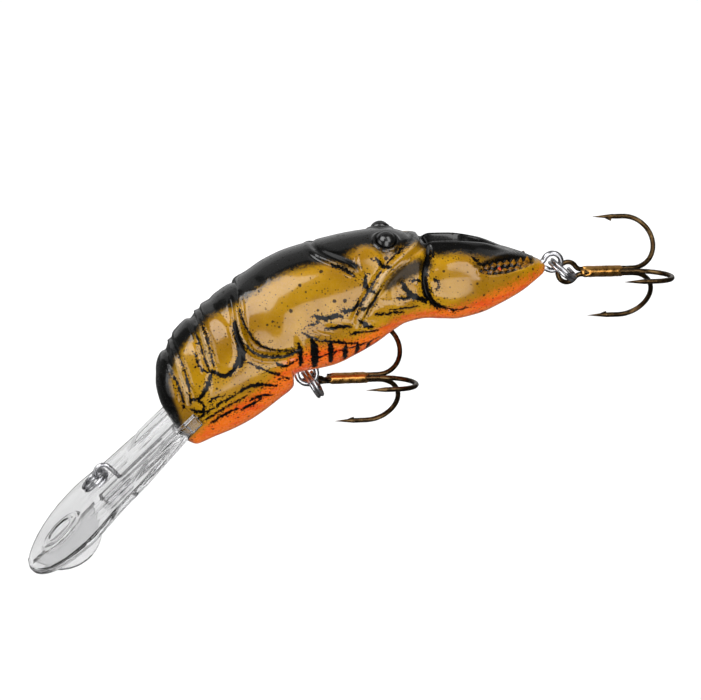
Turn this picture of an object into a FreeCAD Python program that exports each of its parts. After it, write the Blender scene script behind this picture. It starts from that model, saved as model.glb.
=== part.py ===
import FreeCAD, Part

import math
import os

from FreeCAD import Placement, Rotation, Vector

# A deep-diving crankbait moulded as a crawfish. Millimetres.
# Row frame: +Z up, +X from the lip towards the tail hook, Y across the lure.
# The origin is the centre of the line-tie eye, and the lure is in its swimming attitude.
# Lure frame: x runs along the body from the nose, z is square to it, and y is across.

DOC = FreeCAD.newDocument("crankbait")

DIMENSIONS = {
    # where the body and the lip stand in the row frame
    "nose_along": 7.8,
    "nose_above": 11.4,
    "body_pitch": 17.2,
    "lip_along": 2.66,
    "lip_above": -0.34,
    "lip_pitch": 43.5,
    # body shell
    "wall": 1.3,
    "claw_slot_width": 1.5,
    "claw_slot_start": 46.0,
    "claw_slot_floor": 2.6,
    "eye_radius": 1.45,
    "eye_along": 38.3,
    "eye_above": 12.2,
    "eye_apart": 6.0,
    "peg_radius": 0.9,
    "peg_reach": 1.6,
    "fit_gap": 0.05,
    # lip
    "lip_thickness": 1.0,
    "arm_inside": 5.7,
    "arm_width": 1.9,
    "arm_start": 5.0,
    "arm_end": 14.6,
    "arm_rise": 0.8,
    "tongue_half_width": 4.5,
    "tongue_end": 16.5,
    "rib_width": 2.6,
    "rib_depth": 2.6,
    "keel_thickness": 1.3,
    "boss_radius": 3.6,
    "boss_height": 0.35,
    # wires and rings
    "tie_wire_radius": 0.32,
    "tie_eye_radius": 1.16,
    "hanger_wire_radius": 0.4,
    "belly_loop_radius": 1.43,
    "tail_loop_radius": 1.28,
    "ring_wire_radius": 0.26,
    "ring_pitch": 0.56,
    "ring_radius": 2.07,
    "tie_ring_radius": 1.92,
    # hooks
    "hook_wire_radius": 0.36,
    "hook_eye_radius": 1.49,
    "hook_length": 14.6,
    "hook_spread": 8.5,
    "hook_point_length": 4.9,
    "hook_taper": 3.0,
    "braze_radius": 0.92,
    "braze_start": 2.6,
    "braze_end": 8.8,
    # inside the body
    "ballast_radius": 2.6,
    "ballast_length": 9.0,
    "ballast_along": 27.6,
    "ballast_above": 0.4,
    "ball_radius": 1.25,
    "first_ball_along": 35.6,
    "ball_above": 1.5,
    "ball_spacing": 2.55,
}


def make_sheet():
    sheet = DOC.addObject("Spreadsheet::Sheet", "sheet")
    for row, (alias, value) in enumerate(DIMENSIONS.items(), start=1):
        sheet.set(f"A{row}", alias)
        sheet.set(f"B{row}", str(value))
        sheet.setAlias(f"B{row}", alias)
    DOC.recompute()
    return sheet


SHEET = make_sheet()


def size(alias):
    """The value of one driving dimension, in millimetres or degrees."""
    return float(SHEET.get(alias))


# Body stations along the lure frame's x:
# place, top, bottom, height of the widest level, half width there.
BODY_STATIONS = [
    (0.5, 2.4, -3.2, -0.4, 2.2),
    (2.4, 5.6, -8.0, -0.6, 4.9),
    (6.0, 8.7, -8.6, -0.2, 6.3),
    (12.0, 11.4, -8.0, 1.0, 7.5),
    (17.4, 13.1, -6.1, 2.4, 8.1),
    (20.8, 13.9, -3.6, 3.4, 8.3),
    (26.0, 14.6, -3.9, 4.2, 8.3),
    (33.0, 14.0, -3.0, 4.5, 7.8),
    (39.5, 12.4, -1.5, 4.0, 7.0),
    (44.0, 9.6, -2.9, 2.6, 6.7),
    (50.0, 7.1, -3.4, 1.4, 6.3),
    (55.0, 3.9, -2.6, 0.5, 4.4),
    (58.9, 1.1, -1.4, -0.2, 1.6),
]
CAVITY_STATIONS = [7.0, 12.0, 17.4, 20.8, 26.0, 33.0, 39.5, 44.0, 50.0]

LURE_FRAME = Placement(
    Vector(size("nose_along"), 0, size("nose_above")),
    Rotation(Vector(0, 1, 0), -size("body_pitch")),
)
LIP_FRAME = Placement(
    Vector(size("lip_along"), 0, size("lip_above")),
    Rotation(Vector(0, 1, 0), -size("lip_pitch")),
)


# ---------------------------------------------------------------- helpers

def label(thing, name, placement=None):
    thing.Label = name
    if placement is not None:
        thing.Placement = placement
    return thing


def origin_plane(body, role):
    return next(item for item in body.Origin.OriginFeatures if item.Role == role)


def new_sketch(body, name, role, offset=0):
    """A sketch on one of the body's own origin planes, moved along its normal."""
    sketch = body.newObject("Sketcher::SketchObject", name)
    sketch.AttachmentSupport = (origin_plane(body, role), [""])
    sketch.MapMode = "FlatFace"
    sketch.AttachmentOffset = Placement(Vector(0, 0, offset), Rotation())
    return sketch


def add_polyline(sketch, points):
    for start, end in zip(points, points[1:] + points[:1]):
        sketch.addGeometry(Part.LineSegment(Vector(*start, 0), Vector(*end, 0)), False)


def half_ellipse(half_width, rise, level, upper):
    """Half an ellipse from one side of the section to the other."""
    middle = Vector(0, level, 0)
    sign = 1 if upper else -1
    if rise > half_width:
        crown = Vector(0, level + sign * rise, 0)
        side = Vector(-sign * half_width, level, 0)
        return Part.ArcOfEllipse(Part.Ellipse(crown, side, middle), -math.pi / 2, math.pi / 2)
    side = Vector(sign * half_width, level, 0)
    crown = Vector(0, level + sign * rise, 0)
    return Part.ArcOfEllipse(Part.Ellipse(side, crown, middle), 0, math.pi)


def station_at(place):
    """Top, bottom, widest level and half width at any place along the body."""
    for before, after in zip(BODY_STATIONS, BODY_STATIONS[1:]):
        if before[0] <= place <= after[0]:
            share = (place - before[0]) / (after[0] - before[0])
            return [a + share * (b - a) for a, b in zip(before[1:], after[1:])]
    raise ValueError(f"no body station near {place}")


def lofted_form(name, places, inset):
    """A closed body form through sections at the given places, inset by a wall."""
    body = DOC.addObject("PartDesign::Body", name)
    sketches = []
    for number, place in enumerate(places):
        top, bottom, level, half_width = station_at(place)
        sketch = new_sketch(body, f"{name}_section_{number}", "YZ_Plane", place)
        half = half_width - inset
        sketch.addGeometry(half_ellipse(half, top - inset - level, level, True), False)
        sketch.addGeometry(half_ellipse(half, level - bottom - inset, level, False), False)
        sketches.append(sketch)
    loft = body.newObject("PartDesign::AdditiveLoft", f"{name}_loft")
    loft.Profile = sketches[0]
    loft.Sections = sketches[1:]
    loft.Ruled = False
    DOC.recompute()
    return body


def box(name, low, high):
    """A block between two corners of the lure frame or the lip frame."""
    block = DOC.addObject("Part::Box", name)
    block.Length, block.Width, block.Height = [b - a for a, b in zip(low, high)]
    block.Placement = Placement(Vector(*low), Rotation())
    return block


def cylinder(name, radius, length, centre, axis, radius_expression=None):
    """A cylinder with its middle at centre."""
    rod = DOC.addObject("Part::Cylinder", name)
    rod.Radius = radius
    rod.Height = length
    turn = Rotation(Vector(0, 0, 1), Vector(*axis))
    rod.Placement = Placement(Vector(*centre) - turn.multVec(Vector(0, 0, length / 2)), turn)
    if radius_expression:
        rod.setExpression("Radius", radius_expression)
    return rod


def sphere(name, radius_expression, centre):
    ball = DOC.addObject("Part::Sphere", name)
    ball.setExpression("Radius", radius_expression)
    ball.Placement = Placement(Vector(*centre), Rotation())
    return ball


def fuse(name, shapes):
    joined = DOC.addObject("Part::MultiFuse", name)
    joined.Shapes = shapes
    return joined


def cut(name, base, tool):
    result = DOC.addObject("Part::Cut", name)
    result.Base = base
    result.Tool = tool
    return result


def common(name, base, tool):
    result = DOC.addObject("Part::MultiCommon", name)
    result.Shapes = [base, tool]
    return result


def copy_of(name, source, placement):
    """A link-free copy of a shape, set down somewhere else."""
    twin = DOC.addObject("Part::Feature", name)
    twin.Shape = source.Shape.copy()
    twin.Placement = placement
    return twin


def arc(centre, radius, start, end):
    """An arc in the x-z plane, from one angle to the other, in degrees."""
    def point(angle):
        turn = math.radians(angle)
        return Vector(centre[0] + radius * math.cos(turn), 0, centre[1] + radius * math.sin(turn))
    return Part.Arc(point(start), point((start + end) / 2), point(end)).toShape()


def line(start, end):
    """A straight edge between two points."""
    return Part.LineSegment(Vector(*start), Vector(*end)).toShape()


def eye_edges(radius, half_gap, neck):
    """A wire eye round the origin whose two legs leave it towards +x, half_gap off the axis.

    Returns the edges from one leg to the other and the x where the legs begin."""
    leg_x = math.sqrt((radius + neck) ** 2 - (half_gap + neck) ** 2)
    lean = math.degrees(math.atan2(half_gap + neck, leg_x))
    centre = half_gap + neck
    edges = [
        arc((leg_x, centre), neck, 270, 180 + lean),
        arc((0, 0), radius, lean, 360 - lean),
        arc((leg_x, -centre), neck, 180 - lean, 90),
    ]
    return edges, leg_x


def wire_solid(name, edges, radius_alias, start, heading):
    """Round wire swept along tangent lines and arcs."""
    spine = DOC.addObject("Part::Feature", f"{name}_spine")
    spine.Shape = Part.Wire(edges)
    ring = DOC.addObject("Part::Circle", f"{name}_section")
    ring.setExpression("Radius", f"sheet.{radius_alias}")
    ring.Placement = Placement(Vector(*start), Rotation(Vector(0, 0, 1), Vector(*heading)))
    sweep = DOC.addObject("Part::Sweep", name)
    sweep.Sections = [ring]
    sweep.Spine = (spine, [f"Edge{number}" for number in range(1, len(edges) + 1)])
    sweep.Solid = True
    sweep.Frenet = False
    DOC.recompute()
    return sweep


# ---------------------------------------------------------------- body halves

# Places in the lure frame. WIDE and BEYOND reach past the whole body.
WIDE = 30.0
BEYOND = 70.0
BEFORE = -5.0
ACROSS = (0, 1, 0)
BALLAST_CENTRE = (size("ballast_along"), 0, size("ballast_above"))
TAIL_EYE = (60.6, 0, -0.2)
BELLY_LOOP = (21.7, 0, -4.3)
PEG_PLACES = [(10.5, -5.6), (25.0, 12.2), (47.6, -1.2)]
PEG_HOLE_EXTRA = 0.4
TRACK_TOP = size("ball_above") - size("ball_radius") - size("fit_gap")
# Walls across the hollow: name, start, end, top.
WALLS = [
    ("hanger_block", 18.6, 24.4, 2.6),
    ("front_bulkhead", 32.6, 33.9, WIDE),
    ("rear_bulkhead", 45.0, 46.3, WIDE),
    ("ball_track", 33.0, 45.5, TRACK_TOP),
]


# Half outline of the lip's blade: distance along the lip, half width.
LIP_OUTLINE = [
    (-17.5, 6.2), (-14.4, 10.0), (-10.5, 11.9), (-7.0, 12.1), (-2.7, 10.8), (3.0, 10.0), (8.0, 8.6),
]
LIP_TIP = -19.2
PLATE_END = 12.4
PLATE_END_HALF = 7.6
PLATE_POCKET_END = 12.5
TONGUE_POCKET_START = 12.0
RIB_START = -4.5
RIB_END = 10.0
BOSS_ALONG = -12.2
# The keel under the blade: front end, deepest point, back end.
KEEL_FRONT = -18.2
KEEL_LOW = (-12.6, -5.8)
KEEL_BACK = -6.2


def bulkheads():
    """Solid walls and posts that stay inside the hollow form."""
    walls = [box(name, (start, -WIDE, -WIDE), (end, WIDE, top)) for name, start, end, top in WALLS]
    walls.append(cylinder("ballast_boss", size("ballast_radius") + size("wall"), 2 * WIDE,
                          BALLAST_CENTRE, ACROSS))
    for number, (along, above) in enumerate(PEG_PLACES):
        walls.append(cylinder(f"peg_boss_{number}", 2 * size("peg_radius"), 2 * WIDE,
                              (along, 0, above), ACROSS))
    return fuse("bulkheads", walls)


def lip_opening():
    """The space that the lip's plate, arms and tongue take in the nose, in the lip frame."""
    gap = size("fit_gap")
    floor = -size("lip_thickness") - gap
    inside = size("arm_inside") - gap
    outside = inside + size("arm_width") + WIDE
    tongue_half = size("tongue_half_width") + gap
    rib_half = size("rib_width") / 2 + gap
    blocks = [
        box("plate_opening", (BEFORE, -WIDE, floor), (PLATE_POCKET_END + gap, WIDE, gap)),
        box("tongue_opening", (TONGUE_POCKET_START, -tongue_half, floor),
            (size("tongue_end") + gap, tongue_half, gap)),
        box("rib_opening", (BEFORE, -rib_half, -size("rib_depth") - gap),
            (RIB_END + gap, rib_half, 0)),
    ]
    for side, low, high in (("left", -outside, -inside), ("right", inside, outside)):
        blocks.append(box(f"arm_opening_{side}", (BEFORE, low, floor),
                          (size("arm_end") + gap, high, size("arm_rise") + gap)))
    opening = fuse("lip_opening_local", blocks)
    DOC.recompute()
    return copy_of("lip_opening", opening, LURE_FRAME.inverse() * LIP_FRAME)


def body_skin():
    """The outer form with its two moulded eyes."""
    outer = lofted_form("outer_form", [station[0] for station in BODY_STATIONS], 0)
    eyes = []
    for number, side in enumerate((-1, 1)):
        centre = (size("eye_along"), side * size("eye_apart") / 2, size("eye_above"))
        eyes.append(sphere(f"eye_dome_{number}", "sheet.eye_radius", centre))
    return fuse("skin", [outer] + eyes)


def body_spaces(belly_seat, tail_seat):
    """Everything that is hollow in the closed body."""
    gap = size("fit_gap")
    half_slot = size("claw_slot_width") / 2
    inner = lofted_form("inner_form", CAVITY_STATIONS, size("wall"))
    cavity = cut("cavity", inner, bulkheads())
    pocket = cylinder("ballast_pocket", size("ballast_radius") + gap,
                      size("ballast_length") + 2 * gap, BALLAST_CENTRE, ACROSS)
    slot = box("claw_slot", (size("claw_slot_start"), -half_slot, size("claw_slot_floor")),
               (BEYOND, half_slot, WIDE))
    return fuse("spaces", [cavity, pocket, slot, lip_opening(), belly_seat, tail_seat])


def body_halves(belly_seat, tail_seat):
    """The closed body parted along its middle, with pegs on the left and holes on the right."""
    skin = body_skin()
    spaces = body_spaces(belly_seat, tail_seat)
    left_side = box("left_side", (BEFORE, -WIDE, -WIDE), (BEYOND, 0, WIDE))
    right_side = box("right_side", (BEFORE, 0, -WIDE), (BEYOND, WIDE, WIDE))
    left_blank = cut("left_hollow", common("left_blank", skin, left_side), spaces)
    right_blank = cut("right_hollow", common("right_blank", skin, right_side), spaces)
    reach = size("peg_reach")
    pegs = []
    holes = []
    for number, (along, above) in enumerate(PEG_PLACES):
        centre = (along, 0, above)
        pegs.append(cylinder(f"peg_{number}", size("peg_radius"), 2 * reach, centre, ACROSS,
                             "sheet.peg_radius"))
        holes.append(cylinder(f"peg_hole_{number}", size("peg_radius"),
                              2 * reach + PEG_HOLE_EXTRA, centre, ACROSS,
                              "sheet.peg_radius + sheet.fit_gap"))
    left = fuse("left_with_pegs", [left_blank] + pegs)
    right = cut("right_with_holes", right_blank, fuse("peg_holes", holes))
    return [label(left, "body_half_left", LURE_FRAME), label(right, "body_half_right", LURE_FRAME)]


# ---------------------------------------------------------------- lip

def lip_outline_sketch(body):
    """The blade's outline, one smooth curve closed by a straight back edge."""
    sketch = new_sketch(body, "blade_outline", "XY_Plane")
    edge = [Vector(PLATE_END, PLATE_END_HALF, 0)]
    edge += [Vector(along, half, 0) for along, half in reversed(LIP_OUTLINE)]
    edge += [Vector(LIP_TIP, 0, 0)]
    edge += [Vector(along, -half, 0) for along, half in LIP_OUTLINE]
    edge += [Vector(PLATE_END, -PLATE_END_HALF, 0)]
    curve = Part.BSplineCurve()
    curve.interpolate(edge)
    sketch.addGeometry(curve, False)
    sketch.addGeometry(Part.LineSegment(edge[-1], edge[0]), False)
    return sketch


def pad(body, name, sketch, length_expression, reverse=False, midplane=False):
    feature = body.newObject("PartDesign::Pad", name)
    feature.Profile = sketch
    feature.Midplane = midplane
    feature.Reversed = reverse
    feature.setExpression("Length", length_expression)
    DOC.recompute()
    return feature


def diving_lip(tie_seat):
    """The clear blade with its tongue, rib, two arms, boss and keel. Lip frame."""
    body = DOC.addObject("PartDesign::Body", "lip_body")
    pad(body, "blade", lip_outline_sketch(body), "sheet.lip_thickness", reverse=True)
    tongue = new_sketch(body, "tongue_outline", "XY_Plane")
    half = size("tongue_half_width")
    end = size("tongue_end")
    start = PLATE_END - 1
    add_polyline(tongue, [(start, -half), (end, -half), (end, half), (start, half)])
    pad(body, "tongue", tongue, "sheet.lip_thickness", reverse=True)
    rib = new_sketch(body, "rib_outline", "XY_Plane")
    half = size("rib_width") / 2
    add_polyline(rib, [(RIB_START, -half), (RIB_END, -half), (RIB_END, half), (RIB_START, half)])
    pad(body, "rib", rib, "sheet.rib_depth", reverse=True)
    for side in (-1, 1):
        inside = side * size("arm_inside")
        outside = side * (size("arm_inside") + size("arm_width"))
        start, finish = size("arm_start"), size("arm_end")
        low = new_sketch(body, f"arm_root_{side + 1}", "XY_Plane")
        add_polyline(low, [(start, inside), (finish, inside), (finish, outside), (start, outside)])
        pad(body, f"arm_low_{side + 1}", low, "sheet.lip_thickness", reverse=True)
        high = new_sketch(body, f"arm_top_{side + 1}", "XY_Plane")
        add_polyline(high, [(start, inside), (finish, inside), (finish, outside), (start, outside)])
        pad(body, f"arm_high_{side + 1}", high, "sheet.arm_rise")
    boss = new_sketch(body, "boss_outline", "XY_Plane")
    circle = Part.Circle(Vector(BOSS_ALONG, 0, 0), Vector(0, 0, 1), size("boss_radius"))
    boss.addGeometry(circle, False)
    pad(body, "boss", boss, "sheet.boss_height")
    keel = new_sketch(body, "keel_outline", "XZ_Plane")
    front = Vector(KEEL_FRONT, -size("lip_thickness") / 2, 0)
    back = Vector(KEEL_BACK, -size("lip_thickness") / 2, 0)
    keel.addGeometry(Part.Arc(front, Vector(*KEEL_LOW, 0), back), False)
    keel.addGeometry(Part.LineSegment(back, front))
    pad(body, "keel", keel, "sheet.keel_thickness", midplane=True)
    lip = cut("lip_with_wire_hole", body, tie_seat)
    return label(lip, "diving_lip", LIP_FRAME)


# ---------------------------------------------------------------- wires

def line_tie_wire():
    """An eye that stands over the lip, with one leg down through the blade and back in its rib."""
    radius = size("tie_eye_radius")
    pitch = math.radians(size("lip_pitch"))
    down = Vector(math.sin(pitch), 0, -math.cos(pitch))
    back = Vector(math.cos(pitch), 0, math.sin(pitch))
    bend = 0.9
    fall = 2.2 + size("tie_wire_radius")
    tail_length = 7.5
    # the leg leaves the eye square to the blade
    leg_start = back * radius
    leg_end = leg_start + down * fall
    bend_end = leg_end + (down + back) * bend
    bend_middle = leg_end + back * bend + (down - back) * (bend * math.sqrt(0.5))
    tail = bend_end + back * tail_length
    open_end = 300
    edges = [
        arc((0, 0), radius, open_end, size("lip_pitch")),
        Part.LineSegment(leg_start, leg_end).toShape(),
        Part.Arc(leg_end, bend_middle, bend_end).toShape(),
        Part.LineSegment(bend_end, tail).toShape(),
    ]
    begin = math.radians(open_end)
    wire = wire_solid("line_tie_wire_solid", edges, "tie_wire_radius",
                      (radius * math.cos(begin), 0, radius * math.sin(begin)),
                      (math.sin(begin), 0, -math.cos(begin)))
    return label(wire, "line_tie_wire")


def belly_hanger():
    """A U of wire whose two legs stand in the belly and end in outward feet. Lure frame."""
    radius = size("belly_loop_radius")
    along, above = BELLY_LOOP[0], BELLY_LOOP[2]
    bend = 0.8
    top = 3.6
    foot = 0.7
    edges = [
        line((along - radius - bend - foot, 0, above + top + bend),
             (along - radius - bend, 0, above + top + bend)),
        arc((along - radius - bend, above + top), bend, 90, 0),
        line((along - radius, 0, above + top), (along - radius, 0, above)),
        arc((along, above), radius, 180, 360),
        line((along + radius, 0, above), (along + radius, 0, above + top)),
        arc((along + radius + bend, above + top), bend, 180, 90),
        line((along + radius + bend, 0, above + top + bend),
             (along + radius + bend + foot, 0, above + top + bend)),
    ]
    start = (along - radius - bend - foot, 0, above + top + bend)
    wire = wire_solid("belly_hanger_solid", edges, "hanger_wire_radius", start, (1, 0, 0))
    return label(wire, "belly_hanger", LURE_FRAME)


def tail_hanger():
    """An eye behind the claws, with both legs laid forward into the body. Lure frame."""
    half_gap = size("hanger_wire_radius") + 2 * size("fit_gap")
    neck = 0.6
    loop, leg_x = eye_edges(size("tail_loop_radius"), half_gap, neck)
    reach = 8.0
    bend = 0.9
    foot = 0.6
    turn = Placement(Vector(*TAIL_EYE), Rotation(Vector(0, 1, 0), 180))
    edges = [
        line((reach + bend, 0, half_gap + bend + foot), (reach + bend, 0, half_gap + bend)),
        arc((reach, half_gap + bend), bend, 0, -90),
        line((reach, 0, half_gap), (leg_x, 0, half_gap)),
    ]
    edges += loop
    edges += [
        line((leg_x, 0, -half_gap), (reach, 0, -half_gap)),
        arc((reach, -half_gap - bend), bend, 90, 0),
        line((reach + bend, 0, -half_gap - bend), (reach + bend, 0, -half_gap - bend - foot)),
    ]
    for edge in edges:
        edge.Placement = turn * edge.Placement
    start = turn.multVec(Vector(reach + bend, 0, half_gap + bend + foot))
    wire = wire_solid("tail_hanger_solid", edges, "hanger_wire_radius", start, (0, 0, 1))
    return label(wire, "tail_hanger", LURE_FRAME)


def split_ring(name, radius_alias, centre, lean, slew):
    """Two turns of wire round the ring's axis, as half turns that each climb half the pitch.

    lean turns the axis about Y from upright, and slew turns the wire's ends round the axis."""
    half_turns = 4
    radius = size(radius_alias)
    climb = size("ring_pitch") / 2
    reach = math.hypot(radius, climb / 2)
    edges = []
    for half in range(half_turns):
        side = 1 if half % 2 == 0 else -1
        low = (half - half_turns / 2) * climb
        start = Vector(side * radius, 0, low)
        middle = Vector(0, side * reach, low + climb / 2)
        end = Vector(-side * radius, 0, low + climb)
        edges.append(Part.Arc(start, middle, end).toShape())
    beginning = (radius, 0, -half_turns / 2 * climb)
    wire = wire_solid(f"{name}_solid", edges, "ring_wire_radius", beginning, (0, 1, 0))
    stand = Placement(Vector(*centre), Rotation(Vector(0, 1, 0), lean))
    turned = Placement(Vector(), Rotation(Vector(0, 0, 1), slew))
    return label(wire, name, stand * turned)


# ---------------------------------------------------------------- treble hooks

# The three hooks of a treble, as angles round the shank from +y towards +z.
UPPER_HOOK, LOWER_HOOK, SINGLE_HOOK = 60, -60, 180
SHANK_OFFSET = 0.43
HOOK_EYE_NECK = 1.2
POINT_FLAT = 0.03
BRAZE_GAP = 0.005
# The barb's three corners: how far behind the point's root, and how far inwards.
BARB_THICK = 0.22
BARB_LOW = (-1.3, 0.1)
BARB_TIP = (-0.2, 0.68)
BARB_HIGH = (0.1, 0.1)


def radial(angle, distance, along):
    """A point of the hook's own frame, at an angle round the shank from +y towards +z."""
    turn = math.radians(angle)
    return Vector(along, distance * math.cos(turn), distance * math.sin(turn))


def point_edges(angle):
    """Bend and point of one hook, from the shank outwards."""
    spread = size("hook_spread")
    bend = (spread - SHANK_OFFSET) / 2
    centre_x = size("hook_length") - size("hook_wire_radius") - bend
    middle = (spread + SHANK_OFFSET) / 2
    straight = size("hook_point_length") - size("hook_taper")
    root = radial(angle, SHANK_OFFSET, centre_x)
    far = radial(angle, middle, centre_x + bend)
    end = radial(angle, spread, centre_x)
    stop = radial(angle, spread, centre_x - straight)
    return Part.Arc(root, far, end).toShape(), Part.LineSegment(end, stop).toShape(), root, stop


def point_and_barb(name, angle):
    """The ground point in front of the wire, and the barb cut up on its inner side."""
    stop = point_edges(angle)[3]
    cone = DOC.addObject("Part::Cone", f"{name}_point")
    cone.setExpression("Radius1", "sheet.hook_wire_radius")
    cone.Radius2 = POINT_FLAT
    cone.setExpression("Height", "sheet.hook_taper")
    cone.Placement = Placement(stop, Rotation(Vector(0, 0, 1), Vector(-1, 0, 0)))
    inward = radial(angle, -1, 0)
    side = radial(angle + 90, 1, 0)
    corners = []
    for along, depth in (BARB_LOW, BARB_TIP, BARB_HIGH, BARB_LOW):
        corners.append(stop + Vector(along, 0, 0) + inward * depth - side * (BARB_THICK / 2))
    barb = DOC.addObject("Part::Feature", f"{name}_barb")
    barb.Shape = Part.Face(Part.makePolygon(corners)).extrude(side * BARB_THICK)
    return [cone, barb]


def hook_double(name, frame):
    """One wire: point, bend, shank, eye, shank, bend, point. Hook frame, eye at the origin."""
    plane_y = SHANK_OFFSET * math.cos(math.radians(UPPER_HOOK))
    half_gap = SHANK_OFFSET * math.sin(math.radians(UPPER_HOOK))
    loop, leg_x = eye_edges(size("hook_eye_radius"), half_gap, HOOK_EYE_NECK)
    for edge in loop:
        edge.Placement = Placement(Vector(0, plane_y, 0), Rotation()) * edge.Placement
    upper_bend, upper_point, upper_root, upper_stop = point_edges(UPPER_HOOK)
    lower_bend, lower_point, lower_root, _ = point_edges(LOWER_HOOK)
    edges = [upper_point, upper_bend,
             Part.LineSegment(upper_root, Vector(leg_x, plane_y, half_gap)).toShape()]
    edges += loop
    edges += [Part.LineSegment(Vector(leg_x, plane_y, -half_gap), lower_root).toShape(),
              lower_bend, lower_point]
    wire = wire_solid(f"{name}_wire", edges, "hook_wire_radius", tuple(upper_stop), (1, 0, 0))
    hook = fuse(f"{name}_solid", [wire] + point_and_barb(f"{name}_upper", UPPER_HOOK)
                + point_and_barb(f"{name}_lower", LOWER_HOOK))
    return label(hook, name, frame)


def hook_single(name, frame):
    """The third hook, whose shank lies in the valley of the other two."""
    before_braze = 0.2
    bend, point, root, stop = point_edges(SINGLE_HOOK)
    start = Vector(size("braze_start") - before_braze, root.y, root.z)
    edges = [Part.LineSegment(start, root).toShape(), bend, point]
    wire = wire_solid(f"{name}_wire", edges, "hook_wire_radius", tuple(start), (1, 0, 0))
    hook = fuse(f"{name}_solid", [wire] + point_and_barb(name, SINGLE_HOOK))
    return label(hook, name, frame)


def hook_braze(name, frame):
    """The sleeve of braze that fills in round the three shanks."""
    length = size("braze_end") - size("braze_start")
    middle = (size("braze_end") + size("braze_start")) / 2
    sleeve = cylinder(f"{name}_sleeve", size("braze_radius"), length, (middle, 0, 0), (1, 0, 0),
                      "sheet.braze_radius")
    bores = []
    for number, angle in enumerate((UPPER_HOOK, LOWER_HOOK, SINGLE_HOOK)):
        centre = radial(angle, SHANK_OFFSET, middle)
        bores.append(cylinder(f"{name}_bore_{number}", size("hook_wire_radius") + BRAZE_GAP,
                              length + 1, tuple(centre), (1, 0, 0)))
    braze = cut(f"{name}_solid", sleeve, fuse(f"{name}_bores", bores))
    return label(braze, name, frame)


def treble(prefix, frame):
    """One treble hook: a wire with two points, a single hook and the braze between them."""
    return [hook_double(f"{prefix}_hook_double", frame),
            hook_single(f"{prefix}_hook_single", frame),
            hook_braze(f"{prefix}_hook_braze", frame)]


def hook_frame(eye, yaw, roll):
    """Where a treble lies: its eye's centre, its turn about Z, and its roll about its shank."""
    level = Rotation(Vector(0, 0, 1), yaw) * Rotation(Vector(0, 1, 0), HOOK_DIP)
    turn = level * Rotation(Vector(1, 0, 0), roll)
    return Placement(Vector(*eye), turn)


# ---------------------------------------------------------------- weights

BALL_COUNT = 3


def ballast_weight():
    """The lead slug across the body. Lure frame."""
    slug = cylinder("ballast_slug", size("ballast_radius"), size("ballast_length"),
                    BALLAST_CENTRE, ACROSS, "sheet.ballast_radius")
    return label(slug, "ballast_weight", LURE_FRAME * slug.Placement)


def rattle_balls():
    """Loose steel balls in a row on their track. Lure frame."""
    balls = []
    for number in range(BALL_COUNT):
        centre = (size("first_ball_along") + number * size("ball_spacing"), 0, size("ball_above"))
        ball = sphere(f"ball_{number}", "sheet.ball_radius", centre)
        label(ball, f"rattle_ball_{number + 1}", LURE_FRAME * ball.Placement)
        balls.append(ball)
    return balls


# ---------------------------------------------------------------- assembly

# Split rings: name, radius, centre, lean of the axis, slew of the wire's ends.
RINGS = [
    ("line_tie_split_ring", "tie_ring_radius", (-1.2, 0, -1.15), -44, 270),
    ("belly_split_ring", "ring_radius", (30.73, 0, 12.18), 60, 120),
    ("tail_split_ring", "ring_radius", (67.25, 0, 27.84), 41, 60),
]
# Treble hooks: prefix, eye's centre, roll about the shank.
TREBLES = [
    ("belly", (30.9, 2.3, 12.05), -124.5),
    ("tail", (68.3, 1.2, 27.1), -4.5),
]
HOOK_YAW = 11.5
HOOK_DIP = 4.0


def seat_for(name, wire, inverse):
    """A close seat for a wire, in the frame of the piece that it is cut from."""
    seat = DOC.addObject("Part::Feature", name)
    seat.Shape = wire.Shape.makeOffsetShape(size("fit_gap"), 0.001)
    seat.Placement = inverse * seat.Placement
    return seat


def main():
    tie_wire = line_tie_wire()
    belly_wire = belly_hanger()
    tail_wire = tail_hanger()
    DOC.recompute()
    parts = [tie_wire, belly_wire, tail_wire]
    parts += body_halves(seat_for("belly_seat", belly_wire, LURE_FRAME.inverse()),
                         seat_for("tail_seat", tail_wire, LURE_FRAME.inverse()))
    parts.append(diving_lip(seat_for("tie_seat", tie_wire, LIP_FRAME.inverse())))
    for ring in RINGS:
        parts.append(split_ring(*ring))
    for prefix, eye, roll in TREBLES:
        parts += treble(prefix, hook_frame(eye, HOOK_YAW, roll))
    parts.append(ballast_weight())
    parts += rattle_balls()
    DOC.recompute()
    for thing in DOC.Objects:
        if "Invalid" in thing.State or "Error" in thing.State:
            raise RuntimeError(f"{thing.Name} failed: {thing.State}")
    os.makedirs("parts", exist_ok=True)
    for part in parts:
        shape = part.Shape
        if shape.isNull() or not shape.isValid():
            raise RuntimeError(f"{part.Label} has no valid shape")
        print(f"{part.Label:22s} {len(shape.Solids)} solids {shape.Volume:9.2f} mm3")
    for part in parts:
        part.Shape.exportStep(f"parts/{part.Label}.step")


main()
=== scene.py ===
"""The crankbait's looks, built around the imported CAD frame.

Lengths on the lure are in millimetres until a mesh is made: s runs along the body from the nose, y across
it and n up. The stage, the lamps and the camera are in metres.
"""

import math

import bmesh
import bpy
import numpy as np
from mathutils import Matrix, Vector


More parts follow.
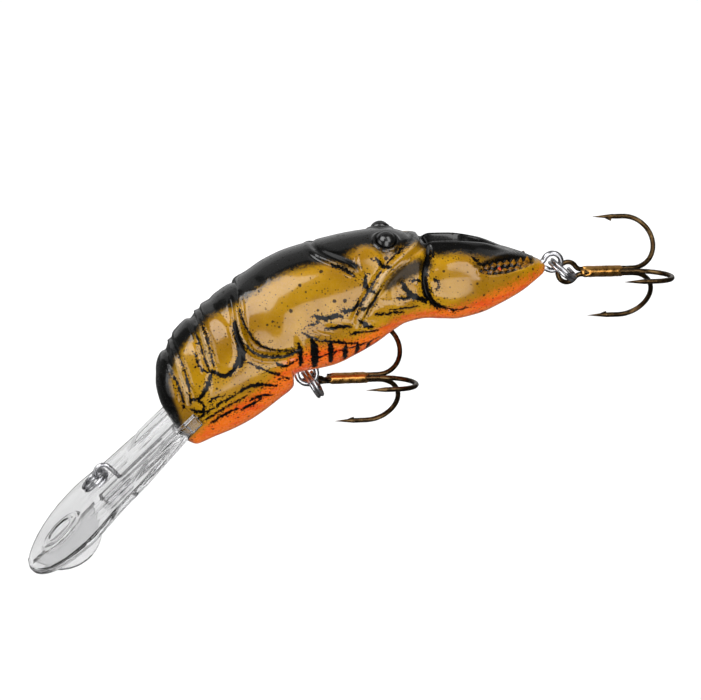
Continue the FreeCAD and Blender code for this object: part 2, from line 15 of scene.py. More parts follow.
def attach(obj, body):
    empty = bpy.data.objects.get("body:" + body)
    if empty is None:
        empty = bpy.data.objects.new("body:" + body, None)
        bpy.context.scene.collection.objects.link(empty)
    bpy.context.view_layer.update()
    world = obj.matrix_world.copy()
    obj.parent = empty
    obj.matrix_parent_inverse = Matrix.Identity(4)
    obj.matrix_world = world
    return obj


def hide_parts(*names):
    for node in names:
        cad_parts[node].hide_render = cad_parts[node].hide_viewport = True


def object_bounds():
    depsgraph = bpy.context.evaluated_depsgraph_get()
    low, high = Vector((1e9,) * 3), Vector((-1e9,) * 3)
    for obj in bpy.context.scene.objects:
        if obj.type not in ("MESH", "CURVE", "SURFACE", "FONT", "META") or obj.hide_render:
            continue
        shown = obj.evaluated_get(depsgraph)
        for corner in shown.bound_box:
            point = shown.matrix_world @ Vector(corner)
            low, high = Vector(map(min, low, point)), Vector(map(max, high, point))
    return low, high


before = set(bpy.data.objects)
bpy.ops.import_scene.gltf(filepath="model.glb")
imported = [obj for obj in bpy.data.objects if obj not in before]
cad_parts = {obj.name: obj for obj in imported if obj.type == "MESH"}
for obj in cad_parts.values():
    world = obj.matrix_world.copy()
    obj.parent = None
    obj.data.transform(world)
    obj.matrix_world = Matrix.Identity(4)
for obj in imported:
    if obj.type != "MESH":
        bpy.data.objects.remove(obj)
CAD_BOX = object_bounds()
MM = 0.001

# ---------------------------------------------------------------- frames

BODY_ORIGIN, BODY_PITCH = (7.8, 0.0, 11.4), 17.2
LIP_ORIGIN, LIP_PITCH = (2.66, 0.0, -0.34), 43.5


def pitched_frame(origin, pitch):
    """Turns lure or lip coordinates in millimetres into row coordinates in metres."""
    place = Matrix.Translation(Vector(origin) * MM)
    return place @ Matrix.Rotation(math.radians(-pitch), 4, "Y") @ Matrix.Scale(MM, 4)


LURE = pitched_frame(BODY_ORIGIN, BODY_PITCH)
LIP = pitched_frame(LIP_ORIGIN, LIP_PITCH)

# ---------------------------------------------------------------- number helpers


def smoothstep(low, high, x):
    """0 at low and 1 at high, smooth between them and level beyond. low may be the larger."""
    t = np.clip((x - low) / (high - low), 0.0, 1.0)
    return t * t * (3.0 - 2.0 * t)


def hump(distance, width):
    """1 on a line, falling smoothly to nothing about two widths away."""
    return np.exp(-((distance / width) ** 2))


def smooth_curve(x, places, values):
    """A smooth line through points that never overshoots them."""
    places, values = np.asarray(places, float), np.asarray(values, float)
    gaps = np.diff(places)
    slopes = np.diff(values) / gaps
    ahead, behind = 2 * gaps[1:] + gaps[:-1], gaps[1:] + 2 * gaps[:-1]
    with np.errstate(divide="ignore", invalid="ignore"):
        inner = (ahead + behind) / (ahead / slopes[:-1] + behind / slopes[1:])
    tangents = np.empty_like(values)
    tangents[1:-1] = np.where(slopes[:-1] * slopes[1:] > 0, inner, 0.0)
    tangents[0], tangents[-1] = slopes[0], slopes[-1]
    i = np.clip(np.searchsorted(places, x) - 1, 0, len(gaps) - 1)
    t = np.clip((x - places[i]) / gaps[i], 0.0, 1.0)
    start = values[i] * (1 + 2 * t) + tangents[i] * gaps[i] * t
    end = values[i + 1] * (3 - 2 * t) - tangents[i + 1] * gaps[i] * (1 - t)
    return start * (1 - t) ** 2 + end * t * t


def rounded_line(points, rounds=2):
    """A polyline with its corners cut again and again, so that drawn lines run smoothly."""
    line = np.asarray(points, float)
    for _ in range(rounds):
        near = line[:-1] * 0.75 + line[1:] * 0.25
        far = line[:-1] * 0.25 + line[1:] * 0.75
        inner = np.stack([near, far], axis=1).reshape(-1, 2)
        line = np.vstack([line[:1], inner, line[-1:]])
    return line


def line_field(points, s, n):
    """(distance to a drawn line, share of the way along it, side: +1 on its left)."""
    line = rounded_line(points)
    steps = np.diff(line, axis=0)
    lengths = np.hypot(steps[:, 0], steps[:, 1])
    starts = np.concatenate([[0.0], np.cumsum(lengths)])
    best = np.full(s.shape, 1e9)
    along = np.zeros(s.shape)
    side = np.ones(s.shape)
    for (ps, pn), (ds, dn), length, start in zip(line, steps, lengths, starts):
        us, un = s - ps, n - pn
        t = np.clip((us * ds + un * dn) / length**2, 0.0, 1.0)
        distance = np.hypot(us - t * ds, un - t * dn)
        closer = distance < best
        best = np.where(closer, distance, best)
        along = np.where(closer, (start + t * length) / starts[-1], along)
        side = np.where(closer, np.sign(ds * un - dn * us), side)
    return best, along, side


# ---------------------------------------------------------------- the body's form

NOSE, TAIL = 0.3, 59.4
# (s, value) points: the top line, the bottom line, the height of the widest place, and the half width.
TOP = [
    (0.3, -0.8), (0.6, 2.0), (1.2, 3.6), (2.4, 5.4), (4.2, 7.1), (6.5, 8.8), (9.0, 9.9), (12.0, 11.2),
    (15.0, 12.2), (18.2, 13.2), (21.0, 14.0), (24.5, 14.4), (28.0, 14.3), (32.0, 14.0), (36.0, 13.4),
    (39.5, 12.4), (41.4, 11.2), (43.2, 9.8), (45.5, 9.1), (48.3, 8.1), (51.0, 6.6), (54.0, 4.5),
    (56.5, 2.7), (58.6, 1.0), (59.4, 0.4),
]
BOTTOM = [
    (0.3, -0.9), (0.6, -3.0), (1.2, -5.4), (2.2, -7.9), (3.6, -8.9), (6.2, -8.6), (8.7, -8.4), (11.7, -7.9),
    (14.3, -7.1), (16.9, -6.1), (18.7, -5.4), (19.3, -4.9), (19.8, -3.4), (20.8, -3.2), (23.2, -3.6),
    (26.0, -3.9), (29.2, -3.5), (32.5, -2.8), (35.4, -1.8), (37.6, -1.3), (39.8, -1.5), (42.6, -2.5),
    (45.3, -3.4), (48.4, -3.6), (51.6, -3.2), (54.8, -2.6), (57.5, -1.7), (59.4, -1.0),
]
LEVEL = [
    (0.3, -0.85), (1.0, -0.6), (4.0, -0.4), (9.0, 0.4), (15.0, 1.8), (20.8, 3.4), (26.0, 4.2), (33.0, 4.5),
    (39.5, 3.9), (44.0, 2.6), (50.0, 1.4), (55.0, 0.5), (59.4, -0.3),
]
HALF = [
    (0.3, 0.05), (0.6, 2.3), (1.4, 3.9), (2.6, 5.0), (4.2, 5.8), (6.5, 6.5), (9.0, 7.0), (12.0, 7.5),
    (15.0, 7.9), (18.2, 8.1), (21.0, 8.3), (26.0, 8.3), (33.0, 7.8), (39.5, 7.0), (44.0, 6.7), (48.0, 6.5),
    (51.5, 5.9), (55.0, 4.5), (57.5, 2.9), (59.4, 1.2),
]
NOSE_LEAD, TAIL_LEAD = 0.002, 0.03  # how near the first and last rings come to the ends
TAIL_ROUND = 0.8
ROUND_REACH, SHORTEST_STEP = 2.2, 0.12  # where the steps shorten, and by how much at most
GIRTH_POINTS = 320
LONG_STEP = 0.14


def from_nose(s):
    """Distance behind the nose on a scale that opens up the blunt front."""
    return np.sqrt(np.maximum(s - NOSE, 0.0))


def profile(points, s):
    """A table of (s, value) points read off smoothly."""
    table = np.array(points)
    return smooth_curve(from_nose(s), from_nose(table[:, 0]), table[:, 1])


def lengthwise_places():
    """Places along the body, closer together where the two ends turn in."""
    places = [NOSE + NOSE_LEAD]
    while places[-1] < TAIL - TAIL_LEAD:
        from_end = min(places[-1] - NOSE, 0.6 * (TAIL - places[-1]))
        share = min(1.0, SHORTEST_STEP + math.sqrt(max(from_end, 0.0) / ROUND_REACH))
        places.append(places[-1] + LONG_STEP * share)
    return np.array(places[:-1])


def base_form():
    """The body without its relief: arrays of s, y and n over places and angles."""
    s = lengthwise_places()[:, None]
    turn = np.linspace(0.0, 2 * math.pi, GIRTH_POINTS, endpoint=False)[None, :]
    top, bottom, level, half = (profile(points, s) for points in (TOP, BOTTOM, LEVEL, HALF))
    shrink = np.sqrt(np.clip(1 - (np.maximum(s - (TAIL - TAIL_ROUND), 0) / TAIL_ROUND) ** 2, 0.0, 1.0))
    rise = np.where(np.sin(turn) > 0, top - level, level - bottom) * shrink
    y = half * shrink * np.cos(turn)
    n = level + rise * np.sin(turn)
    return np.broadcast_to(s, y.shape).copy(), y, n


def grid_normals(points):
    """Outward normals of a grid of points that closes on itself across its second axis."""
    along = np.gradient(points, axis=0)
    around = np.roll(points, -1, axis=1) - np.roll(points, 1, axis=1)
    normals = np.cross(around, along)
    return normals / np.maximum(np.linalg.norm(normals, axis=2, keepdims=True), 1e-9)


# ---------------------------------------------------------------- the body's relief
# Each line is drawn on the side of the body as (s, n) points and holds for both sides.

PLATE_EDGES = [
    [(3.7, 8.0), (4.1, 6.4), (4.35, 4.7), (4.45, 2.6), (4.25, 0.4), (3.9, -1.4)],
    [(8.7, 11.0), (9.05, 9.6), (9.15, 7.5), (9.0, 5.6), (8.75, 3.8), (8.6, 2.3)],
]
BACK_NOTCHES = [  # s, n, depth
    (0.6, 1.6, 0.35), (4.0, 6.6, 0.5), (8.9, 10.0, 0.55), (11.4, 11.0, 0.22), (15.8, 12.5, 0.3),
]
SHELL_EDGE = [
    (16.1, 13.4), (15.6, 11.2), (15.15, 9.3), (15.15, 7.5), (15.5, 5.7), (16.4, 4.2), (17.9, 3.1),
    (19.9, 2.45), (22.2, 2.3),
]
SHELL_RIM = [
    (15.6, 11.8), (14.7, 8.7), (14.3, 6.7), (14.5, 5.2), (15.2, 3.7), (16.9, 2.5), (19.8, 1.85), (21.6, 2.0),
]
NECK_GROOVE = [(27.0, 14.6), (28.2, 13.4), (29.6, 12.4), (31.2, 11.3), (32.3, 10.4), (32.8, 9.3)]
SPEAR = [
    (43.4, 9.9), (41.3, 9.8), (39.4, 9.45), (37.6, 8.9), (36.3, 8.2), (34.9, 7.1), (33.4, 6.0), (32.2, 4.9),
    (31.0, 3.7), (30.2, 2.6),
]
CLAW_EDGE = [
    (35.8, 7.4), (36.6, 8.0), (37.8, 8.5), (39.3, 9.0), (41.0, 9.1), (42.7, 9.1), (43.6, 8.9),
]
WRIST = [(44.0, 9.2), (43.0, 7.7), (41.9, 6.4), (41.3, 4.3), (41.5, 2.1), (42.6, 0.3), (44.6, -1.0)]
FINGER_SLOT = [(49.7, 3.8), (51.2, 3.6), (53.2, 3.05), (55.3, 2.3), (57.6, 1.4)]
LOBES = [  # centre s, n, reach along, reach up, height
    (2.6, 2.2, 1.5, 3.6, 0.16),
    (6.5, 3.6, 1.9, 4.0, 0.28),
    (11.2, 6.2, 2.2, 4.2, 0.34),
    (34.9, 10.3, 2.0, 2.2, 0.40),
    (46.3, 3.4, 4.0, 4.2, 0.35),
    (38.9, 4.6, 2.2, 2.4, 0.22),
]
LEGS = [
    [(23.0, 4.4), (24.3, 2.8), (25.9, 1.8), (27.8, 0.5), (30.0, -0.4)],
    [(25.6, 5.6), (27.6, 4.4), (29.6, 3.0), (31.6, 1.7), (33.4, 1.0)],
    [(30.2, 2.6), (32.2, 1.9), (34.2, 1.6), (35.6, 1.5)],
    [(33.8, 4.7), (35.8, 3.6), (37.6, 3.2), (39.4, 2.6)],
]
SLOT_TEETH = 8
SLOT_HALF_END, SLOT_HALF_SWELL, SLOT_DEPTH = 0.18, 0.74, 0.6
TOOTH_WAVE, TOOTH_HEIGHT, SLOT_RIM_HEIGHT = 0.12, 0.34, 0.12
VALLEY_START, VALLEY_END, VALLEY_DEPTH = 43.3, 53.5, 2.0
CREST_HEIGHT = 0.45
EYE, EYE_RADIUS = (38.3, 3.1, 11.9), 1.42
COLLAR_RADIUS, COLLAR_HEIGHT, SOCKET_DEPTH = 1.75, 0.3, 0.25


def ridge(field, width, height, fade=0.12):
    """A raised line that fades at both ends."""
    distance, along, _ = field
    ends = smoothstep(0.0, fade, along) * smoothstep(0.0, fade, 1.0 - along)
    return height * hump(distance, width) * ends


def overlap(field, height, run):
    """A plate's edge: raised on the line's left and falling away over a run behind it."""
    distance, along, side = field
    ends = smoothstep(0.0, 0.1, along) * smoothstep(0.0, 0.1, 1.0 - along)
    lift = np.where(side > 0, np.exp(-distance / run), 0.0)
    return height * lift * smoothstep(0.0, 0.16, distance) * ends


def beside(field, offset):
    """A line's field measured from a pair of lines that run at an offset on both sides of it."""
    distance, along, side = field
    return distance - offset, along, side


def plate_relief(s, y, n):
    """The abdomen's plates: a rim, a groove and an overlap at each edge, and notches across the back."""
    lift = np.zeros(s.shape)
    for points in PLATE_EDGES:
        edge = line_field(points, s, n)
        lift += ridge(edge, width=0.42, height=0.22) - ridge(beside(edge, 0.95), width=0.34, height=0.24)
        lift += overlap(edge, height=0.30, run=1.8)
    flank = smoothstep(0.2, 0.75, np.abs(y) / np.maximum(profile(HALF, s), 0.1))
    for place, height, depth in BACK_NOTCHES:
        reach = np.hypot(s - place, 0.5 * (n - height))
        lift -= depth * hump(reach, 0.8) * (1 - flank)
    return lift


def shell_relief(s, n):
    """The carapace's edge, the rim that follows it, and the groove at the neck."""
    edge = line_field(SHELL_EDGE, s, n)
    lift = overlap(edge, height=0.5, run=2.4) - ridge(edge, width=0.26, height=0.22)
    rim = line_field(SHELL_RIM, s, n)
    lift += ridge(rim, width=0.36, height=0.4) - ridge(beside(rim, 0.75), width=0.34, height=0.26)
    neck = line_field(NECK_GROOVE, s, n)
    lift += ridge(neck, width=0.28, height=0.16, fade=0.2)
    lift -= ridge(beside(neck, 0.55), width=0.28, height=0.24, fade=0.2)
    return lift


def claw_relief(s, n):
    """The long spear beside the head, the claw's upper edge, its wrist and the slot between its fingers."""
    spear = line_field(SPEAR, s, n)
    lift = ridge(spear, width=0.42 - 0.12 * spear[1], height=0.5, fade=0.05)
    lift -= ridge(beside(spear, 0.85), width=0.28, height=0.2, fade=0.15)
    distance, along, side = line_field(CLAW_EDGE, s, n)
    lift += overlap((distance, along, -side), height=0.3, run=1.6)
    lift -= ridge(line_field(WRIST, s, n), width=0.46, height=0.62, fade=0.08)
    gap, tooth = finger_slot(s, n)
    lift -= SLOT_DEPTH * smoothstep(0.12, -0.3, gap)
    lift += TOOTH_HEIGHT * smoothstep(0.1, -0.06, tooth)
    lift += SLOT_RIM_HEIGHT * hump(gap - 0.25, 0.2)
    return lift


def limb_relief(s, n):
    """Rounded lobes, and the legs folded under the carapace."""
    lift = np.zeros(s.shape)
    for place, height, reach, rise, bulge in LOBES:
        across = ((s - place) / reach) ** 2 + ((n - height) / rise) ** 2
        lift += bulge * smoothstep(1.25, 0.35, across)
    for points in LEGS:
        leg = line_field(points, s, n)
        lift += ridge(leg, width=0.55, height=0.22, fade=0.2)
        lift -= ridge(beside(leg, 1.0), width=0.3, height=0.1, fade=0.2)
    return lift


def relief(s, y, n):
    """How far each point of the body stands out from the base form."""
    return plate_relief(s, y, n) + shell_relief(s, n) + claw_relief(s, n) + limb_relief(s, n)


def finger_slot(s, n):
    """Signed distances to the opening between a claw's fingers and to the two rows of teeth inside it."""
    distance, along, side = line_field(FINGER_SLOT, s, n)
    half_gap = SLOT_HALF_END + SLOT_HALF_SWELL * np.sin(math.pi * np.clip(along, 0.0, 1.0) ** 0.75)
    wave = TOOTH_WAVE * np.sin(2 * math.pi * SLOT_TEETH * along)
    across = distance * side
    upper_row = np.abs(across - 0.5 * half_gap) - 0.15 - wave
    lower_row = np.abs(across + 0.42 * half_gap) - 0.17 + wave
    between_ends = (along > 0.03) & (along < 0.97)
    return distance - half_gap, np.where(between_ends, np.minimum(upper_row, lower_row), 1.0)


def claw_valley(s, y):
    """How far the top sinks between the two claws."""
    opening = smoothstep(VALLEY_START, VALLEY_START + 0.9, s) * smoothstep(VALLEY_END, VALLEY_END - 1.6, s)
    half_width = 0.4 + 1.9 * smoothstep(VALLEY_END, VALLEY_END - 5.0, s)
    return VALLEY_DEPTH * opening * smoothstep(half_width, 0.45 * half_width, np.abs(y))


def crest_ridges(s, y):
    """The claws' two top edges, either side of the valley."""
    rise = smoothstep(VALLEY_START, VALLEY_START + 1.5, s)
    fall = smoothstep(VALLEY_END + 2.5, VALLEY_END - 2.0, s)
    crest = 1.0 + 1.5 * smoothstep(VALLEY_END + 1.0, VALLEY_END - 5.0, s)
    return CREST_HEIGHT * rise * fall * hump(np.abs(y) - crest, 0.8)


def eye_sockets(s, y, n):
    """A raised collar round each eye with a flat bed inside it."""
    reach = np.sqrt((s - EYE[0]) ** 2 + (np.abs(y) - EYE[1]) ** 2 + (n - EYE[2]) ** 2)
    return COLLAR_HEIGHT * hump(reach - COLLAR_RADIUS, 0.3) - SOCKET_DEPTH * smoothstep(1.5, 1.2, reach)


# ---------------------------------------------------------------- the body's paint

# Where the black back and the orange belly begin.
BACK_LINE = [
    (2.4, -8.5), (2.1, -4.5), (2.1, -1.0), (2.3, 2.0), (3.2, 4.0), (4.6, 5.6), (6.1, 6.9), (8.6, 8.3),
    (10.2, 9.3), (12.5, 10.1), (15.3, 10.6), (17.0, 11.0), (19.1, 11.8), (22.1, 12.6), (25.2, 12.8),
    (28.2, 12.5), (31.1, 12.1), (34.0, 12.7), (36.0, 12.2), (37.0, 11.0), (38.3, 10.5), (39.8, 10.8),
    (41.8, 10.2), (43.3, 8.9), (44.5, 7.7), (47.3, 7.1), (49.3, 6.1), (51.9, 4.7), (56.1, 2.5), (59.5, 0.8),
]
BELLY_LINE = [
    (0.0, -7.6), (2.5, -6.6), (4.2, -5.7), (6.9, -3.9), (10.1, -2.9), (14.4, -2.0), (17.9, 0.3), (21.5, 2.4),
    (25.8, 1.5), (30.3, 0.6), (35.2, 1.5), (39.9, 1.4), (44.1, 0.2), (48.8, 0.3), (53.5, 0.4), (59.5, 0.1),
]
SHADE_UNDER_HEAD_STROKES = [  # olive painted shade under the head, along the claw's upper edge: points and half width
    ([(36.4, 6.6), (38.0, 7.3), (40.0, 7.6), (42.0, 7.5), (43.0, 7.2)], 1.05),
]
SHADOW_STROKES = [  # soft black painted shadows above the claw's slot, at the nose and in the wedge at the neck: points and half width
    ([(49.4, 4.6), (52.0, 4.3), (55.0, 3.1), (57.8, 1.7)], 0.35),
    ([(1.6, 3.0), (1.3, 0.0), (1.6, -3.5)], 0.8),
    ([(28.8, 13.6), (30.4, 12.6), (31.8, 11.6), (32.9, 10.5)], 0.55),
]
INK_STROKES = [  # brushed black lines: points and half width
    ([(8.2, 8.2), (8.35, 6.4), (8.3, 4.6), (8.5, 2.7)], 0.13),
    ([(7.4, 5.6), (7.2, 4.6), (7.5, 3.4), (8.3, 2.7)], 0.10),
    ([(8.7, 2.7), (7.6, 1.1), (6.7, 0.1), (5.6, -0.6), (4.6, -0.4)], 0.22),
    ([(8.9, 2.9), (9.8, 1.75), (11.0, 1.75), (12.3, 2.7), (13.2, 4.4)], 0.24),
    ([(14.0, 8.4), (13.75, 6.6), (13.8, 5.0), (13.4, 3.6), (12.8, 2.6)], 0.38),
    ([(3.0, 5.0), (3.3, 3.6), (3.6, 1.6), (3.5, -0.4), (3.2, -1.6)], 0.13),
    ([(5.0, 6.0), (5.2, 4.2), (5.1, 2.2), (4.8, 0.6), (4.4, -1.0)], 0.10),
    ([(9.6, 9.4), (9.75, 7.6), (9.55, 5.6), (9.2, 3.6)], 0.11),
    ([(15.3, 9.6), (15.2, 7.8), (15.7, 5.8), (16.6, 4.35), (18.0, 3.3), (19.9, 2.7), (21.6, 2.4)], 0.17),
    ([(14.4, 5.6), (15.1, 4.0), (16.4, 2.9), (18.4, 2.2), (20.4, 2.0), (21.4, 2.2)], 0.15),
    ([(13.3, 3.6), (14.6, 2.2), (15.9, 0.9), (17.6, -0.6), (18.9, -2.0)], 0.13),
    ([(17.6, 2.0), (18.0, 0.9), (19.2, 0.3), (20.6, 0.6)], 0.14),
    ([(4.7, -3.6), (7.2, -2.5), (9.6, -1.8), (11.6, -1.3)], 0.14),
    ([(11.0, -1.4), (12.6, -0.9), (14.2, -0.9), (15.6, -1.5), (16.9, -2.4)], 0.20),
    ([(5.0, -4.3), (7.4, -3.5), (9.8, -2.8), (12.3, -2.2)], 0.11),
    ([(6.2, -4.9), (8.8, -4.0), (10.6, -3.8)], 0.18),
    ([(11.0, -4.2), (12.6, -4.0), (14.0, -3.6)], 0.20),
    ([(12.6, -3.2), (13.8, -2.9), (15.0, -3.2), (15.9, -3.7)], 0.18),
    ([(4.0, -1.6), (4.6, -2.4), (5.6, -2.7), (6.6, -3.0)], 0.18),
    ([(5.6, -0.8), (6.2, -1.6), (5.8, -2.6)], 0.20),
    ([(7.0, -1.4), (8.2, -0.9), (9.4, -1.2)], 0.12),
    ([(31.6, 12.0), (32.4, 11.2), (33.0, 10.6)], 0.2),
    ([(29.8, 11.8), (31.4, 10.7), (32.3, 9.6)], 0.16),
    ([(33.8, 8.9), (33.3, 8.0), (33.6, 7.0), (34.3, 6.5)], 0.24),
    ([(34.9, 6.4), (33.8, 5.2), (32.8, 4.9), (31.6, 4.8)], 0.20),
    ([(31.8, 6.2), (31.0, 5.4), (29.8, 5.2), (29.0, 5.6)], 0.22),
    ([(38.4, 6.4), (38.7, 5.0), (39.4, 3.9), (40.4, 3.2), (41.0, 2.4)], 0.30),
    ([(36.9, 4.6), (38.2, 4.1), (39.4, 3.9)], 0.16),
    ([(35.6, 3.4), (36.8, 2.9), (38.2, 2.8), (39.4, 2.3)], 0.13),
    ([(33.4, 3.4), (34.8, 2.8), (36.0, 2.6), (37.2, 2.1)], 0.14),
    ([(44.0, 9.0), (43.0, 7.6), (41.9, 6.3), (41.35, 4.3), (41.6, 2.2), (42.7, 0.4), (44.4, -0.7)], 0.36),
    ([(42.4, 1.6), (43.4, 0.2), (44.8, -0.6), (46.4, -0.6)], 0.16),
    ([(39.6, 6.2), (40.5, 6.0), (41.2, 5.6)], 0.13),
    ([(43.0, 5.3), (43.4, 4.4), (43.0, 3.6)], 0.12),
    ([(43.8, 7.6), (44.2, 8.4)], 0.14),
    ([(49.3, 5.8), (49.9, 4.6), (51.0, 4.2)], 0.14),
    ([(43.2, 10.5), (41.0, 10.45), (39.2, 10.2), (37.4, 9.6)], 0.12),
    ([(36.4, 9.1), (34.9, 8.0), (33.4, 6.9), (32.0, 5.7), (30.8, 4.4)], 0.13),
    ([(35.6, 6.9), (34.2, 5.8), (33.0, 4.7), (31.8, 3.5)], 0.12),
    ([(36.0, 10.3), (36.6, 9.3), (37.4, 8.9)], 0.22),
    ([(22.6, 4.6), (23.6, 3.4), (24.6, 2.6), (26.0, 2.0), (27.8, 0.9), (29.8, -0.2)], 0.14),
    ([(25.2, 6.2), (26.4, 5.3), (27.8, 5.4), (28.8, 4.8)], 0.26),
    ([(26.2, 3.9), (27.4, 3.5), (28.6, 3.6), (29.4, 2.9)], 0.24),
    ([(23.8, 5.2), (24.8, 5.1), (25.6, 5.6)], 0.14),
    ([(29.2, 1.7), (30.6, 1.6), (31.8, 1.0), (33.2, 0.6)], 0.18),
    ([(30.8, 3.6), (31.4, 2.6), (32.4, 1.8)], 0.22),
    ([(21.7, 3.2), (21.5, 1.4), (21.0, -0.6)], 0.26),
    ([(23.7, 3.0), (23.5, 0.8), (22.9, -1.8)], 0.42),
    ([(26.0, 1.7), (25.8, 0.2), (25.3, -2.0)], 0.32),
    ([(28.0, 0.3), (27.8, -0.8), (27.4, -2.4)], 0.30),
    ([(29.7, -0.4), (29.6, -1.2), (29.2, -2.4)], 0.26),
    ([(31.4, -0.9), (31.2, -1.7), (30.9, -2.4)], 0.2),
    ([(24.0, -0.3), (26.0, -0.2), (28.4, -0.5), (31.0, -0.9), (33.0, -0.9)], 0.12),
]
PAINTED_HIGHLIGHT_STROKES = [  # cream painted highlights on the plates' rims, the neck groove and the spear: points and half width
    ([(4.3, 5.2), (4.5, 3.6), (4.45, 1.6), (4.2, 0.0), (3.9, -1.0)], 0.30),
    ([(9.1, 9.0), (9.2, 7.4), (9.05, 5.6), (8.8, 3.8)], 0.34),
    ([(14.9, 9.8), (14.4, 8.0), (14.35, 6.4), (14.7, 4.9), (15.6, 3.5), (17.2, 2.6), (19.4, 2.1)], 0.16),
    ([(29.6, 12.2), (31.0, 11.2), (32.2, 10.2)], 0.14),
    (SPEAR[:4], 0.12),
    (SPEAR[3:], 0.34),
]
ORANGE_DOT = (52.8, 3.05)
INK_SPREAD = 1.45
NEAR, FAR = 1.2, 3.0  # how far from an ink stroke and from a soft shadow the field still counts


def stroke_field(strokes, s, n, reach=NEAR, spread=1.0):
    """Signed distance to the nearest stroke's edge, negative inside it. Strokes thin out at their ends."""
    best = np.full(s.shape, reach)
    for points, half_width in strokes:
        distance, along, _ = line_field(points, s, n)
        pressure = 0.45 + 0.55 * np.sin(math.pi * np.clip(along, 0.04, 0.96)) ** 0.6
        best = np.minimum(best, distance - spread * half_width * pressure)
    return best


def border_field(points, s, n):
    """Signed distance to a border line, positive on its left."""
    distance, _, side = line_field(points, s, n)
    return np.clip(distance * side, -4.0, 4.0)


def paint_fields(s, y, n):
    """The float attributes that the paint's material reads, each in millimetres."""
    gap, tooth = finger_slot(s, n)
    # The claws' sunken valley is darkened as painted shade too.
    valley = 1.2 - 1.3 * claw_valley(s, y)
    return {
        "back": border_field(BACK_LINE, s, n),
        "belly": -border_field(BELLY_LINE, s, n),
        "ink": stroke_field(INK_STROKES, s, n, spread=INK_SPREAD),
        "pale": stroke_field(PAINTED_HIGHLIGHT_STROKES, s, n),
        "gap": np.clip(gap, -2.0, 2.0),
        "tooth": np.clip(tooth, -1.0, 1.0),
        "shade": np.minimum(stroke_field(SHADOW_STROKES, s, n, FAR), valley),
        "olive_painted_shade": stroke_field(SHADE_UNDER_HEAD_STROKES, s, n, FAR),
        "dot": np.hypot(s - ORANGE_DOT[0], n - ORANGE_DOT[1]),
    }


# ---------------------------------------------------------------- making meshes


def new_piece(name, vertices, faces, body, node_names=()):
    """A smooth piece from points in metres. It rides on a body and stands for the named CAD nodes."""
    mesh = bpy.data.meshes.new(name)
    mesh.from_pydata([tuple(v) for v in vertices], [], faces)
    mesh.validate()
    mesh.shade_smooth()
    piece = bpy.data.objects.new(name, mesh)
    bpy.context.scene.collection.objects.link(piece)
    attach(piece, body)
    if node_names:
        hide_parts(*node_names)
    return piece


def moved(points, matrix):
    """Points taken through a matrix."""
    array = np.asarray(points, float)
    turn, shift = np.array(matrix.to_3x3()), np.array(matrix.translation)
    return array @ turn.T + shift


def grid_faces(rows, columns):
    """Quads of a grid that closes on itself across its columns, with a fan at each end."""
    faces = []
    for i in range(rows - 1):
        for j in range(columns):
            k = (j + 1) % columns
            faces.append((i * columns + j, (i + 1) * columns + j, (i + 1) * columns + k, i * columns + k))
    first, last = rows * columns, rows * columns + 1
    for j in range(columns):
        k = (j + 1) % columns
        faces.append((first, j, k))
        faces.append((last, (rows - 1) * columns + k, (rows - 1) * columns + j))
    return faces


def add_field(mesh, name, values):
    """Stores one number for each vertex, for the mesh's material to read."""
    attribute = mesh.attributes.new(name, "FLOAT", "POINT")
    attribute.data.foreach_set("value", np.asarray(values, np.float32))


def make_body():
    """The painted body: base form, relief along its normals, and the paint's fields."""
    s, y, n = base_form()
    normals = grid_normals(np.stack([s, y, n], axis=2))
    ends = smoothstep(NOSE, NOSE + 1.2, s) * smoothstep(TAIL, TAIL - 1.0, s)
    upper = n > profile(LEVEL, s)
    lift = (relief(s, y, n) + eye_sockets(s, y, n)) * ends
    points = np.stack([s, y, n], axis=2) + normals * lift[..., None]
    points[..., 2] += np.where(upper, crest_ridges(s, y) - claw_valley(s, y), 0.0)
    fields = paint_fields(s, y, n)
    rows, columns = s.shape
    tips = np.array([points[0].mean(axis=0), points[-1].mean(axis=0)])
    vertices = moved(np.vstack([points.reshape(-1, 3), tips]), LURE)
    body = new_piece(
        "painted_body", vertices, grid_faces(rows, columns), "lure",
        ["body_half_left", "body_half_right"],
    )
    for name, values in fields.items():
        ends_too = [values[0].mean(), values[-1].mean()]
        add_field(body.data, name, np.concatenate([values.reshape(-1), ends_too]))
    return body


body_piece = make_body()

# ---------------------------------------------------------------- eyes


EYE_TURNS = 48
EYE_OUT = (0.12, 0.80, 0.58)
EYE_RIM = [  # radius as a share of the eye's, height
    (0.7, -0.7), (1.04, -0.6), (1.12, -0.1), (1.10, 0.04), (1.03, 0.08),
]
DOME_SHARE = 0.86  # the dome's height as a share of its radius


def lathe_rows(profile_points, turns):
    """Rings of points round the z axis, one for each (radius, height) point."""
    angles = np.linspace(0, 2 * math.pi, turns, endpoint=False)
    return np.array([
        [(radius * math.cos(a), radius * math.sin(a), height) for a in angles]
        for radius, height in profile_points
    ])


def make_eye(name, side):
    """A glossy domed eye with a stepped rim, standing out of its socket."""
    rim = [(EYE_RADIUS * share, height) for share, height in EYE_RIM]
    dome = [
        (EYE_RADIUS * math.cos(a), EYE_RADIUS * DOME_SHARE * math.sin(a)) for a in np.linspace(0.12, 1.5, 22)
    ]
    rows = lathe_rows(rim + dome, EYE_TURNS)
    tips = [(0, 0, EYE_RIM[0][1]), (0, 0, EYE_RADIUS * 0.87)]
    points = np.vstack([rows.reshape(-1, 3), tips])
    out = Vector((EYE_OUT[0], side * EYE_OUT[1], EYE_OUT[2])).normalized()
    turn = out.to_track_quat("Z", "Y").to_matrix().to_4x4()
    stand = Matrix.Translation((EYE[0], side * EYE[1], EYE[2])) @ turn
    faces = [tuple(reversed(face)) for face in grid_faces(len(rows), EYE_TURNS)]
    return new_piece(name, moved(points, LURE @ stand), faces, "lure")


eyes = [make_eye("eye_right", -1), make_eye("eye_left", 1)]

# ---------------------------------------------------------------- the lip

